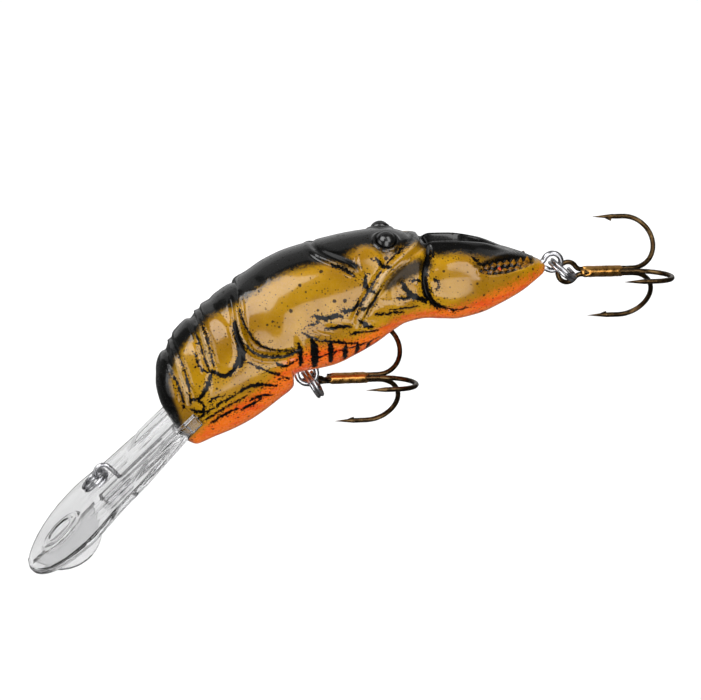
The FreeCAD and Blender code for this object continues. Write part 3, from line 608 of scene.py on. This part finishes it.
LIP_VOXEL = 0.16
LIP_SMOOTHING = 14
LIP_RIDGES = [(2.7, 0.05), (5.2, 0.06), (8.4, 0.03)]  # distance from the middle, height
RIDGE_WIDTH, RING_WIDTH = 0.7, 0.22
BOSS_MIDDLE, BOSS_RINGS = -12.2, [(2.3, 0.16), (3.5, 0.10)]  # ring radius, height
ARM_FOOT, ARM_FULL = 1.8, 5.5  # where the arms start to rise, and where they have their full height
KEEL_ROOT = -0.9  # the keel's top, under the blade
ARM_ROOT = ((3.9, 6.65, 0.2), (4.4, 1.9, 1.2))  # middle and size of the part ahead of the CAD arm


def lip_blank():
    """A copy of the CAD lip in lip coordinates, bare of attributes, with a root added to each arm."""
    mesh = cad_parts["diving_lip"].data.copy()
    mesh.transform(LIP.inverted())
    for name in [a.name for a in mesh.attributes if not a.is_required and not a.is_internal]:
        mesh.attributes.remove(mesh.attributes[name])
    mesh.materials.clear()
    roots = bmesh.new()
    roots.from_mesh(mesh)
    (along, across, above), box_size = ARM_ROOT
    for side in (-1, 1):
        place = Matrix.Translation((along, side * across, above)) @ Matrix.Diagonal((*box_size, 1.0))
        bmesh.ops.create_cube(roots, size=1.0, matrix=place)
    roots.to_mesh(mesh)
    roots.free()
    return mesh


def moulded(blank):
    """The blank as one mesh with the soft, rounded edges of a moulding."""
    draft = bpy.data.objects.new("lip_draft", blank)
    bpy.context.scene.collection.objects.link(draft)
    remesh = draft.modifiers.new("remesh", "REMESH")
    remesh.mode, remesh.voxel_size, remesh.use_smooth_shade = "VOXEL", LIP_VOXEL, True
    smooth = draft.modifiers.new("smooth", "SMOOTH")
    smooth.factor, smooth.iterations = 0.5, LIP_SMOOTHING
    graph = bpy.context.evaluated_depsgraph_get()
    shape = bpy.data.meshes.new_from_object(draft.evaluated_get(graph))
    bpy.data.objects.remove(draft)
    return shape


def lip_bumps(u, across):
    """Height of the long ridges and of the rings round the boss, on the blade's top."""
    ridges = sum(height * hump(across - place, RIDGE_WIDTH) for place, height in LIP_RIDGES)
    ridges = ridges * smoothstep(-9.0, -3.0, u) * smoothstep(9.0, 5.0, u)
    from_boss = np.hypot(u - BOSS_MIDDLE, across)
    rings = sum(height * hump(from_boss - radius, RING_WIDTH) for radius, height in BOSS_RINGS)
    return ridges + rings


def make_lip():
    """The CAD lip with moulded edges, ridges and rings on its top, and arms that rise from the blade."""
    shape = moulded(lip_blank())
    co = np.array([v.co for v in shape.vertices])
    normals = np.array([v.normal for v in shape.vertices])
    u, across = co[:, 0], np.abs(co[:, 1])
    facing_up = np.clip(normals[:, 2], 0, 1) ** 2
    co = co + normals * (lip_bumps(u, across) * facing_up)[:, None]
    keel = smoothstep(KEEL_ROOT, KEEL_ROOT - 0.5, co[:, 2]) * smoothstep(-4.0, -5.0, u)
    arms = (u > ARM_FOOT - 0.5) & (co[:, 2] > 0)
    co[:, 2] *= np.where(arms, smoothstep(ARM_FOOT, ARM_FULL, u), 1.0)
    shape.vertices.foreach_set("co", moved(co, LIP).reshape(-1))
    add_field(shape, "keel", keel)
    shape.shade_smooth()
    shape.name = "clear_lip"
    lip = bpy.data.objects.new("clear_lip", shape)
    bpy.context.scene.collection.objects.link(lip)
    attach(lip, "lure")
    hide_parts("diving_lip")
    return lip


lip_piece = make_lip()

# ---------------------------------------------------------------- braze

HOOK_YAW, HOOK_DIP = 11.5, 4.0
TREBLES = {"belly": ((30.9, 2.3, 12.05), -124.5), "tail": ((68.3, 1.2, 27.1), -4.5)}  # hook eye, roll
BRAZE_ROWS, BRAZE_TURNS = 90, 72
BRAZE_START, BRAZE_END, BRAZE_FADE = 2.1, 8.95, 0.9
BRAZE_HIGH, BRAZE_LOW, BRAZE_CORE = 0.875, 0.75, 0.36
LOBE_ANGLE = 60.0


def hook_frame(prefix):
    """Turns one treble's coordinates in millimetres, x along its shanks, into row coordinates in metres."""
    origin, roll = TREBLES[prefix]
    stand = Matrix.Translation(Vector(origin) * MM) @ Matrix.Rotation(math.radians(HOOK_YAW), 4, "Z")
    stand = stand @ Matrix.Rotation(math.radians(HOOK_DIP), 4, "Y")
    return stand @ Matrix.Rotation(math.radians(roll), 4, "X") @ Matrix.Scale(MM, 4)


def make_braze(prefix, phase):
    """Braze that has run along three shanks: lobed over the wires, and thin and uneven at both ends."""
    along = np.linspace(BRAZE_START, BRAZE_END, BRAZE_ROWS)[:, None]
    turn = np.linspace(0, 2 * math.pi, BRAZE_TURNS, endpoint=False)[None, :]
    lobe = 0.5 + 0.5 * np.cos(3 * (turn - math.radians(LOBE_ANGLE)))
    uneven = 0.35 * np.sin(2 * turn + phase) + 0.2 * np.sin(5 * turn + 2 * phase)
    full = smoothstep(BRAZE_START, BRAZE_START + BRAZE_FADE + uneven, along)
    full = full * smoothstep(BRAZE_END, BRAZE_END - BRAZE_FADE - uneven[:, ::-1], along)
    ripple = 0.012 * np.sin(1.9 * along + phase) + 0.008 * np.sin(4.3 * along + 3 * turn + phase)
    radius = BRAZE_CORE + (BRAZE_LOW + (BRAZE_HIGH - BRAZE_LOW) * lobe + ripple - BRAZE_CORE) * full
    points = np.stack([along + 0 * turn, radius * np.cos(turn), radius * np.sin(turn)], axis=2)
    tips = [(BRAZE_START, 0, 0), (BRAZE_END, 0, 0)]
    faces = [tuple(reversed(face)) for face in grid_faces(BRAZE_ROWS, BRAZE_TURNS)]
    vertices = moved(np.vstack([points.reshape(-1, 3), tips]), hook_frame(prefix))
    return new_piece(
        f"{prefix}_hook_fillet", vertices, faces, f"{prefix}_hook", [f"{prefix}_hook_braze"]
    )


brazes = [make_braze("belly", 0.4), make_braze("tail", 2.1)]

# ---------------------------------------------------------------- materials


MIX_SHARE, MIX_A, MIX_B, MIX_RESULT = 0, 6, 7, 2  # places of the mix node's colour sockets


class Nodes:
    """A short way to write one material's node tree."""

    def __init__(self, name):
        self.material = bpy.data.materials.new(name)
        self.material.use_nodes = True
        self.tree = self.material.node_tree
        self.shader = self.tree.nodes["Principled BSDF"]

    def link(self, source, target):
        self.tree.links.new(source, target)

    def feed(self, socket, value):
        if isinstance(value, bpy.types.NodeSocket):
            self.link(value, socket)
        else:
            socket.default_value = value

    def node(self, kind, output=0, inputs=None, **settings):
        made = self.tree.nodes.new(f"ShaderNode{kind}")
        for key, value in settings.items():
            setattr(made, key, value)
        for key, value in (inputs or {}).items():
            self.feed(made.inputs[key], value)
        return made.outputs[output]

    def field(self, name):
        return self.node("Attribute", "Fac", attribute_name=name)

    def place(self, scale=(1, 1, 1)):
        at = self.node("TexCoord", "Object")
        return self.node("Mapping", inputs={"Vector": at, "Scale": scale})

    def noise(self, scale, detail=3.0, roughness=0.6, stretch=(1, 1, 1)):
        inputs = {"Vector": self.place(stretch), "Scale": scale, "Detail": detail, "Roughness": roughness}
        return self.node("TexNoise", inputs=inputs)

    def math(self, operation, a, b=0.0):
        return self.node("Math", inputs={0: a, 1: b}, operation=operation)

    def ramp(self, value, low, high, start=0.0, end=1.0):
        inputs = {"Value": value, "From Min": low, "From Max": high, "To Min": start, "To Max": end}
        return self.node("MapRange", inputs=inputs, interpolation_type="SMOOTHSTEP")

    def mix(self, share, a, b):
        made = self.tree.nodes.new("ShaderNodeMix")
        made.data_type = "RGBA"
        self.feed(made.inputs[MIX_SHARE], share)
        self.feed(made.inputs[MIX_A], a)
        self.feed(made.inputs[MIX_B], b)
        return made.outputs[MIX_RESULT]

    def bump(self, height, strength, distance, before=None):
        inputs = {"Height": height, "Strength": strength, "Distance": distance}
        if before is not None:
            inputs["Normal"] = before
        return self.node("Bump", inputs=inputs)

    def set(self, **sockets):
        for name, value in sockets.items():
            self.feed(self.shader.inputs[name.replace("_", " ")], value)


def colour(red, green, blue):
    """A colour given in the usual 0 to 255 steps, as the shader's linear values."""
    def linear(step):
        share = step / 255
        return share / 12.92 if share <= 0.04045 else ((share + 0.055) / 1.055) ** 2.4
    return (linear(red), linear(green), linear(blue), 1.0)


BLACK, INK_BLACK, SPECK_BROWN = colour(6, 6, 5), colour(7, 6, 5), colour(18, 14, 6)
GOLD, DEEP_GOLD, GOLD_GRAIN = colour(204, 150, 0), colour(178, 126, 0), colour(112, 76, 2)
ORANGE, DEEP_ORANGE, DOT_ORANGE = colour(255, 122, 8), colour(244, 76, 0), colour(250, 104, 50)
# The cream below is a painted highlight for the rims, the neck groove and the spear.
# The olive below is painted shade under the head.
PAINTED_HIGHLIGHT_CREAM, SHADE_OLIVE = colour(222, 184, 122), colour(52, 36, 3)
TOOTH_GOLD, TOOTH_BROWN = colour(176, 118, 16), colour(96, 60, 8)
SPECKLES = [  # scale, size, rarity, strength
    (2600, 0.32, 0.50, 0.75),
    (1250, 0.26, 0.68, 0.85),
    (640, 0.22, 0.78, 0.9),
]


def speckles(nodes, scale, size, rarity):
    """Scattered dots: 1 inside a dot. rarity is the share of cells left empty."""
    inputs = {"Vector": nodes.place(), "Scale": scale, "Randomness": 1.0}
    cells = nodes.tree.nodes.new("ShaderNodeTexVoronoi")
    for key, value in inputs.items():
        nodes.feed(cells.inputs[key], value)
    chance = nodes.node("SeparateColor", inputs={"Color": cells.outputs["Color"]})
    reach = nodes.ramp(chance, rarity, 1.0, 0.0, size)
    wobble = nodes.ramp(nodes.noise(9000), 0.2, 0.8, -0.06, 0.06)
    return nodes.math("LESS_THAN", nodes.math("ADD", cells.outputs["Distance"], wobble), reach)


def feathered(nodes, name, fine, reach):
    """A field whose edge wanders by up to the reach, as sprayed paint's does."""
    return nodes.math("ADD", nodes.field(name), nodes.ramp(fine, 0.2, 0.8, -reach, reach))


def sprayed(nodes, fine, grain):
    """Gold sides, orange belly, cream painted highlights on the rims and black back, each fading into the
    next.
    """
    broad = nodes.noise(160, 2.0)
    streaks = nodes.noise(420, 4.0, 0.65, (0.35, 1.0, 1.6))
    gold = nodes.mix(nodes.ramp(broad, 0.35, 0.65), GOLD, DEEP_GOLD)
    gold = nodes.mix(nodes.ramp(grain, 0.6, 0.8, 0.0, 0.4), gold, GOLD_GRAIN)
    orange = nodes.mix(nodes.ramp(streaks, 0.42, 0.68), ORANGE, DEEP_ORANGE)
    painted = nodes.mix(nodes.ramp(feathered(nodes, "belly", fine, 0.7), -0.9, 1.3), gold, orange)
    # Cream painted highlight along the raised rims, the neck groove and the spear.
    painted_highlights = nodes.ramp(feathered(nodes, "pale", fine, 0.08), 0.1, -0.12, 0.0, 0.85)
    painted = nodes.mix(painted_highlights, painted, PAINTED_HIGHLIGHT_CREAM)
    return nodes.mix(nodes.ramp(feathered(nodes, "back", fine, 0.3), -0.75, 0.35), painted, BLACK)


def shadowed(nodes, painted, fine):
    """Adds the painted shade: olive under the head, and black in the soft shadows and in the valley between
    the claws. Returns the colour, and how matt the lacquer is over them.
    """
    # Olive painted shade under the head and along the claw's upper edge.
    olive_painted_shade = nodes.ramp(feathered(nodes, "olive_painted_shade", fine, 0.3), 0.5, -0.5)
    painted = nodes.mix(olive_painted_shade, painted, SHADE_OLIVE)
    # Black painted shadows, and painted shade in the valley between the claws.
    shade = nodes.ramp(feathered(nodes, "shade", fine, 0.3), 0.55, -0.35)
    return nodes.mix(shade, painted, BLACK), nodes.math("MAXIMUM", shade, olive_painted_shade)


def inked(nodes, painted, matt, torn):
    """Adds the speckles and the brushed lines, whose edges are torn and splattered."""
    for scale, size, rarity, strength in SPECKLES:
        dots = speckles(nodes, scale, size, rarity)
        painted = nodes.mix(nodes.math("MULTIPLY", dots, strength), painted, SPECK_BROWN)
        matt = nodes.math("MAXIMUM", dots, matt)
    splatter = nodes.ramp(nodes.noise(3800, 1.0, 0.5), 0.58, 0.74, 0.0, 0.9)
    edge = nodes.math("SUBTRACT", nodes.math("ADD", nodes.field("ink"), torn), splatter)
    lines = nodes.ramp(edge, 0.06, -0.04)
    return nodes.mix(lines, painted, INK_BLACK), nodes.math("MAXIMUM", lines, matt)


def claw_marked(nodes, painted, fine, torn):
    """Adds the slot between the claw's fingers, painted black as shade in the recess, the teeth in it and
    the orange dot.
    """
    # Painted shade: the sunken opening between the fingers is painted black.
    slot = nodes.ramp(nodes.math("ADD", nodes.field("gap"), torn), 0.1, -0.12)
    painted = nodes.mix(slot, painted, BLACK)
    teeth = nodes.mix(nodes.ramp(fine, 0.4, 0.6), TOOTH_GOLD, TOOTH_BROWN)
    painted = nodes.mix(nodes.ramp(nodes.field("tooth"), 0.05, -0.05), painted, teeth)
    return nodes.mix(nodes.ramp(nodes.field("dot"), 0.34, 0.24), painted, DOT_ORANGE)


def paint_material():
    """Airbrushed and inked paint with painted highlights and painted shade, under a lacquer that is thin
    over the ink, the dots and the shade.
    """
    nodes = Nodes("painted_body")
    fine = nodes.noise(2600, 4.0, 0.7)
    grain = nodes.noise(7000, 2.0, 0.8)
    torn = nodes.ramp(nodes.noise(2000, 5.0, 0.75), 0.25, 0.75, -0.24, 0.24)
    painted, matt = shadowed(nodes, sprayed(nodes, fine, grain), fine)
    painted, matt = inked(nodes, painted, matt, torn)
    painted = claw_marked(nodes, painted, fine, torn)
    peel = nodes.bump(nodes.noise(900, 2.0), 0.08, 0.00004)
    nodes.set(Base_Color=painted, Roughness=nodes.ramp(fine, 0.2, 0.8, 0.22, 0.32), Specular_IOR_Level=0.12)
    nodes.set(Coat_Weight=nodes.ramp(matt, 0.0, 1.0, 1.0, 0.08), Coat_Roughness=0.11, Coat_IOR=1.4)
    nodes.set(Normal=nodes.bump(grain, 0.02, 0.00002, peel), Coat_Normal=peel)
    return nodes.material


def eye_material():
    """Black gloss paint with a faint cloudiness."""
    nodes = Nodes("eye_gloss")
    cloud = nodes.noise(900, 3.0)
    nodes.set(Base_Color=nodes.mix(nodes.ramp(cloud, 0.4, 0.8), colour(5, 5, 5), colour(16, 15, 13)))
    nodes.set(Roughness=nodes.ramp(cloud, 0.2, 0.8, 0.2, 0.3), Coat_Weight=0.3, Coat_Roughness=0.10)
    nodes.set(Normal=nodes.bump(cloud, 0.06, 0.00005))
    return nodes.material


DULL_CLEAR, BRIGHT_CLEAR = (0.68, 0.68, 0.685, 1), (0.77, 0.77, 0.775, 1)
KEEL_CLEAR = (0.61, 0.61, 0.615, 1)


def lip_material():
    """Clear moulded plastic with faint flow marks and scuffs, greyer in the keel."""
    nodes = Nodes("clear_polycarbonate")
    flow = nodes.noise(120, 3.0, 0.5, (0.35, 1.6, 0.35))
    scuffs = nodes.noise(2500, 2.0, 0.6, (0.5, 1.0, 0.5))
    blade = nodes.mix(nodes.ramp(flow, 0.3, 0.7), DULL_CLEAR, BRIGHT_CLEAR)
    nodes.set(Base_Color=nodes.mix(nodes.field("keel"), blade, KEEL_CLEAR))
    nodes.set(Roughness=nodes.ramp(scuffs, 0.45, 0.8, 0.015, 0.08), Transmission_Weight=1.0, IOR=1.45)
    nodes.set(Normal=nodes.bump(flow, 0.06, 0.0002, nodes.bump(scuffs, 0.02, 0.00002)))
    return nodes.material


def metal_material(name, light, dark, rough, wear_scale=1200):
    """Drawn or plated metal: tone and roughness wander, with fine draw lines."""
    nodes = Nodes(name)
    cloud = nodes.noise(wear_scale, 4.0, 0.65)
    lines = nodes.noise(9000, 2.0, 0.6, (0.2, 1.0, 0.2))
    tone = nodes.mix(nodes.ramp(cloud, 0.3, 0.7), dark, light)
    nodes.set(Base_Color=tone, Roughness=nodes.ramp(cloud, 0.25, 0.75, rough * 0.7, rough * 1.4))
    nodes.set(Normal=nodes.bump(lines, 0.08, 0.00002, nodes.bump(cloud, 0.08, 0.00004)), Metallic=1.0)
    return nodes.material


def give(piece, material):
    """Makes a material the piece's only one."""
    piece.data.materials.clear()
    piece.data.materials.append(material)


steel = metal_material("bright_steel", colour(190, 190, 192), colour(142, 142, 146), 0.27)
bronze = metal_material("bronzed_steel", colour(92, 72, 46), colour(44, 31, 17), 0.24, 700)
brass = metal_material("braze", colour(196, 146, 78), colour(132, 90, 40), 0.28, 900)
lead = metal_material("cast_lead", colour(120, 122, 126), colour(82, 84, 88), 0.5)
give(body_piece, paint_material())
for eye in eyes:
    give(eye, eye_material())
give(lip_piece, lip_material())
for braze in brazes:
    give(braze, brass)
CAD_FINISHES = {
    steel: [
        "line_tie_wire", "belly_hanger", "tail_hanger", "line_tie_split_ring", "belly_split_ring",
        "tail_split_ring", "rattle_ball_1", "rattle_ball_2", "rattle_ball_3",
    ],
    bronze: ["belly_hook_double", "belly_hook_single", "tail_hook_double", "tail_hook_single"],
    lead: ["ballast_weight"],
}
for finish, names in CAD_FINISHES.items():
    for node_name in names:
        give(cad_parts[node_name], finish)

# ---------------------------------------------------------------- stage, lights and camera


FLOOR_DROP = 0.14
FLOOR_FRONT, FLOOR_BACK, HALF_FLOOR = -1.6, 1.2, 2.4
BEND_RADIUS, WALL_TOP = 0.35, 1.8
LIT_MIDDLE = (0.035, 0.0, 0.014)
LAMPS = [  # name, azimuth, elevation, distance, width, height, radiance, mirrored, lighting
    ("left_card", -54, 44, 0.60, 0.46, 0.40, 5.6, True, False),
    ("front_card", 3, -4, 0.25, 0.15, 0.26, 4.0, True, False),
    ("right_card", 31, 38, 0.60, 0.26, 0.56, 4.6, True, False),
    ("back_card", 180, 25, 0.70, 1.20, 0.60, 0.5, True, False),
    ("high_card", 180, 66, 0.70, 1.00, 0.42, 0.35, True, False),
    ("side_card", -75, -5, 0.50, 0.35, 0.35, 2.2, True, False),
    ("left_fill", -50, 40, 0.70, 0.50, 0.50, 2.0, False, True),
    ("right_fill", 40, 25, 0.70, 0.50, 0.50, 1.7, False, True),
    ("low_fill", 0, -20, 0.30, 0.30, 0.10, 1.7, False, True),
    ("top_fill", 180, 65, 0.80, 0.80, 0.50, 0.8, False, True),
    ("back_fill", 175, 15, 0.80, 0.50, 0.50, 0.8, False, True),
    ("floor_wash", 180, 80, 1.20, 1.60, 1.20, 1.2, False, True),
]
WALL_WASH_PLACE, WALL_WASH_SIZE = (0.0, 0.55, 1.1), (2.0, 0.3)
WALL_WASH_TILT, WALL_WASH_POWER = 42.0, 19.0
ROOM_GLOW = 0.1
CAMERA_TURN, CAMERA_RISE = -8.0, 17.0
CAMERA_AIM, CAMERA_DISTANCE = (0.0362, 0.0, 0.0170), 0.60
CAMERA_LENS, SENSOR_WIDTH, NEAREST = 212.6, 36.0, 0.01


def make_backdrop():
    """A pale sheet: floor in front, curving up behind the lure."""
    floor_z = CAD_BOX[0][2] - FLOOR_DROP
    line = [(FLOOR_FRONT, 0.0)]
    for a in np.linspace(0, math.pi / 2, 16):
        back = FLOOR_BACK - BEND_RADIUS + BEND_RADIUS * math.sin(a)
        line.append((back, BEND_RADIUS - BEND_RADIUS * math.cos(a)))
    line.append((FLOOR_BACK, WALL_TOP))
    vertices, faces = [], []
    for y, z in line:
        vertices += [(-HALF_FLOOR, y, floor_z + z), (HALF_FLOOR, y, floor_z + z)]
    for row in range(len(line) - 1):
        faces.append((2 * row, 2 * row + 1, 2 * row + 3, 2 * row + 2))
    mesh = bpy.data.meshes.new("backdrop")
    mesh.from_pydata(vertices, [], faces)
    mesh.shade_smooth()
    backdrop = bpy.data.objects.new("backdrop", mesh)
    bpy.context.scene.collection.objects.link(backdrop)
    backdrop.visible_glossy = False
    nodes = Nodes("pale_paper")
    fibre = nodes.noise(400, 3.0)
    nodes.set(Base_Color=nodes.mix(fibre, (0.73, 0.73, 0.73, 1), (0.75, 0.75, 0.75, 1)), Roughness=0.9)
    give(backdrop, nodes.material)


def direction(azimuth, elevation):
    """A unit vector away from the lure. Azimuth 0 is the camera's side, and 90 is +x."""
    turn, rise = math.radians(azimuth), math.radians(elevation)
    return Vector((math.sin(turn) * math.cos(rise), -math.cos(turn) * math.cos(rise), math.sin(rise)))


def looking_back(out):
    """The turn of a lamp or camera that stands out along a direction and faces the lure."""
    return (-out).to_track_quat("-Z", "Y").to_euler()


def new_lamp(name, width, height, power):
    """A rectangular lamp that the camera and clear plastic don't show."""
    light = bpy.data.lights.new(name, "AREA")
    light.shape, light.size, light.size_y = "RECTANGLE", width, height
    light.energy = power
    lamp = bpy.data.objects.new(name, light)
    lamp.visible_camera = False
    lamp.visible_transmission = False
    bpy.context.scene.collection.objects.link(lamp)
    return lamp


def add_light(name, azimuth, elevation, distance, width, height, radiance, mirrored, lighting):
    """A lamp that faces the lure: mirrored if gloss shows it, and lighting if it lights matt surfaces."""
    out = direction(azimuth, elevation)
    lamp = new_lamp(name, width, height, radiance * math.pi * width * height)
    lamp.location = Vector(LIT_MIDDLE) + out * distance
    lamp.rotation_euler = looking_back(out)
    lamp.visible_glossy = mirrored
    lamp.visible_diffuse = lighting


def wash_the_wall():
    """Evens out the backdrop behind the lure."""
    lamp = new_lamp("wall_wash", *WALL_WASH_SIZE, WALL_WASH_POWER)
    lamp.location = WALL_WASH_PLACE
    lamp.rotation_euler = (math.radians(WALL_WASH_TILT), 0, 0)
    lamp.visible_glossy = False


def make_lights():
    """A faintly glowing room, the lamps, and colours shown as they are."""
    world = bpy.data.worlds.new("soft_room")
    world.use_nodes = True
    background = world.node_tree.nodes["Background"]
    background.inputs["Color"].default_value = (1, 1, 1, 1)
    background.inputs["Strength"].default_value = ROOM_GLOW
    bpy.context.scene.world = world
    bpy.context.scene.view_settings.view_transform = "Standard"
    for lamp in LAMPS:
        add_light(*lamp)
    wash_the_wall()


def make_camera():
    """A long lens that looks at the lure's side from a little towards its lip, and from above."""
    data = bpy.data.cameras.new("camera")
    data.lens, data.sensor_width = CAMERA_LENS, SENSOR_WIDTH
    data.clip_start = NEAREST
    camera = bpy.data.objects.new("camera", data)
    out = direction(CAMERA_TURN, CAMERA_RISE)
    camera.location = Vector(CAMERA_AIM) + out * CAMERA_DISTANCE
    camera.rotation_euler = looking_back(out)
    bpy.context.scene.collection.objects.link(camera)
    bpy.context.scene.camera = camera


make_backdrop()
make_lights()
make_camera()
